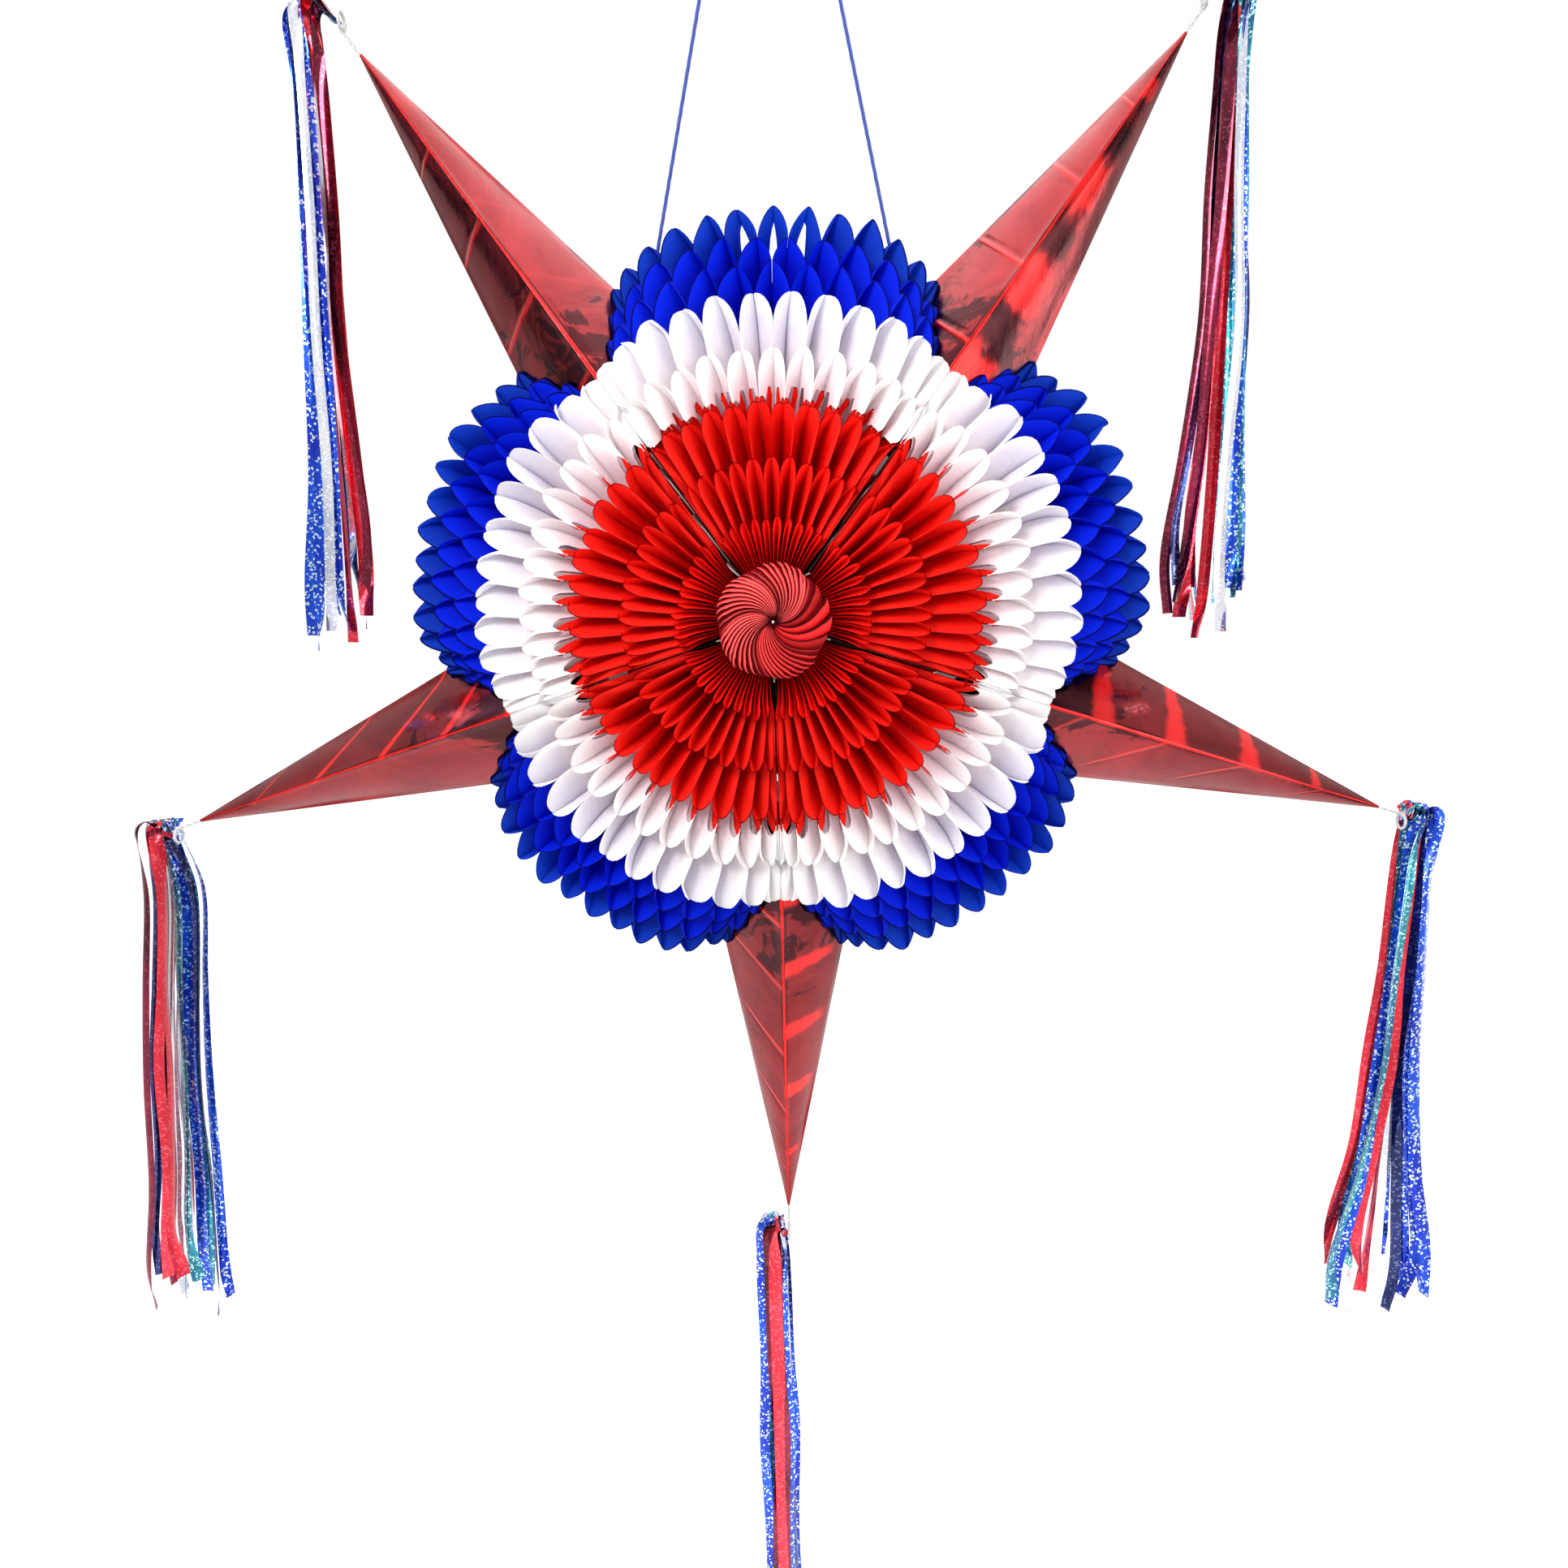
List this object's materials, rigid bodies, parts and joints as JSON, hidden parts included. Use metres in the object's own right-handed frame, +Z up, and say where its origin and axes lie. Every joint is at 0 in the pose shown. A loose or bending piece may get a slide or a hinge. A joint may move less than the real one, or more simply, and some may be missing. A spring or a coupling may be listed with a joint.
{
  "type": "hanging star pinata",
  "caption": "Fanned tissue-paper star with foil cones, strip tassels, a treat tube with a hinged lid, and a ring to hang it by.",
  "frame": {"origin": "centre of the hanging ring's bore", "axes": "+Z up, front of the star towards -Y, +X to the right seen from the front"},
  "size_m": [0.8762, 0.2859, 1.2265],
  "materials": {
    "tissue_red": "matte translucent tissue",
    "tissue_white": "matte translucent tissue",
    "tissue_blue": "matte translucent tissue",
    "rosette_red": "matte tissue, cut edges showing",
    "card_white": "matte uncoated card",
    "foil_red": "bright red metallised foil card",
    "strip_blue": "holographic glitter film",
    "strip_teal": "holographic glitter film",
    "strip_red": "metallic film",
    "strip_dark": "metallic film",
    "strip_navy": "metallic film",
    "strip_silver": "holographic metallic film",
    "string_white": "twisted thread",
    "cord_blue": "thin braided cord",
    "ring_plastic": "smooth moulded plastic"
  },
  "bodies": {
    "hanger": {"hang_ring": "ring_plastic"},
    "star": {"cord_left": "cord_blue", "cord_right": "cord_blue", "cord_loops": "cord_blue", "cord_knots": "cord_blue", "red_front_top": "tissue_red", "red_front_upper_left": "tissue_red", "red_front_lower_left": "tissue_red", "red_front_lower_right": "tissue_red", "red_front_upper_right": "tissue_red", "white_front_top": "tissue_white", "white_front_upper_left": "tissue_white", "white_front_lower_left": "tissue_white", "white_front_lower_right": "tissue_white", "white_front_upper_right": "tissue_white", "blue_rim_top": "tissue_blue", "blue_rim_upper_left": "tissue_blue", "blue_rim_lower_left": "tissue_blue", "blue_rim_lower_right": "tissue_blue", "blue_rim_upper_right": "tissue_blue", "white_back_top": "tissue_white", "white_back_upper_left": "tissue_white", "white_back_lower_left": "tissue_white", "white_back_lower_right": "tissue_white", "white_back_upper_right": "tissue_white", "red_back_top": "tissue_red", "red_back_upper_left": "tissue_red", "red_back_lower_left": "tissue_red", "red_back_lower_right": "tissue_red", "red_back_upper_right": "tissue_red", "card_leaves_top_left": "card_white", "card_leaves_left": "card_white", "card_leaves_bottom": "card_white", "card_leaves_right": "card_white", "card_leaves_top_right": "card_white", "foil_cone_top_left": "foil_red", "foil_cone_left": "foil_red", "foil_cone_bottom": "foil_red", "foil_cone_right": "foil_red", "foil_cone_top_right": "foil_red", "tip_string_top_left": "string_white", "tip_string_left": "string_white", "tip_string_bottom": "string_white", "tip_string_right": "string_white", "tip_string_top_right": "string_white", "treat_tube": "card_white", "tube_end": "card_white", "front_rosette": "rosette_red"},
    "tassel_top_left_body": {"tassel_top_left": "strip_blue"},
    "tassel_left_body": {"tassel_left": "strip_blue"},
    "tassel_bottom_body": {"tassel_bottom": "strip_blue"},
    "tassel_right_body": {"tassel_right": "strip_blue"},
    "tassel_top_right_body": {"tassel_top_right": "strip_blue"},
    "fill_lid": {"fill_cap": "card_white", "back_rosette": "rosette_red"}
  },
  "joints": [
    {"name": "star_swing", "type": "hinge", "parent": "hanger", "child": "star", "pos_m": [0, 0, -0.006], "axis": [1, 0, 0], "range_deg": [-30, 30]},
    {"name": "tassel_swing_top_left", "type": "hinge", "parent": "star", "child": "tassel_top_left_body", "pos_m": [-0.23923, 0, -0.10623], "axis": [1, 0, 0], "range_deg": [-35, 35]},
    {"name": "tassel_swing_left", "type": "hinge", "parent": "star", "child": "tassel_left_body", "pos_m": [-0.38708, 0, -0.57027], "axis": [1, 0, 0], "range_deg": [-35, 35]},
    {"name": "tassel_swing_bottom", "type": "hinge", "parent": "star", "child": "tassel_bottom_body", "pos_m": [0, 0, -0.8515], "axis": [1, 0, 0], "range_deg": [-35, 35]},
    {"name": "tassel_swing_right", "type": "hinge", "parent": "star", "child": "tassel_right_body", "pos_m": [0.38708, 0, -0.57027], "axis": [1, 0, 0], "range_deg": [-35, 35]},
    {"name": "tassel_swing_top_right", "type": "hinge", "parent": "star", "child": "tassel_top_right_body", "pos_m": [0.23923, 0, -0.10623], "axis": [1, 0, 0], "range_deg": [-35, 35]},
    {"name": "fill_lid_hinge", "type": "hinge", "parent": "star", "child": "fill_lid", "pos_m": [0, 0.1295, -0.409], "axis": [1, 0, 0], "range_deg": [0, 100]}
  ]
}
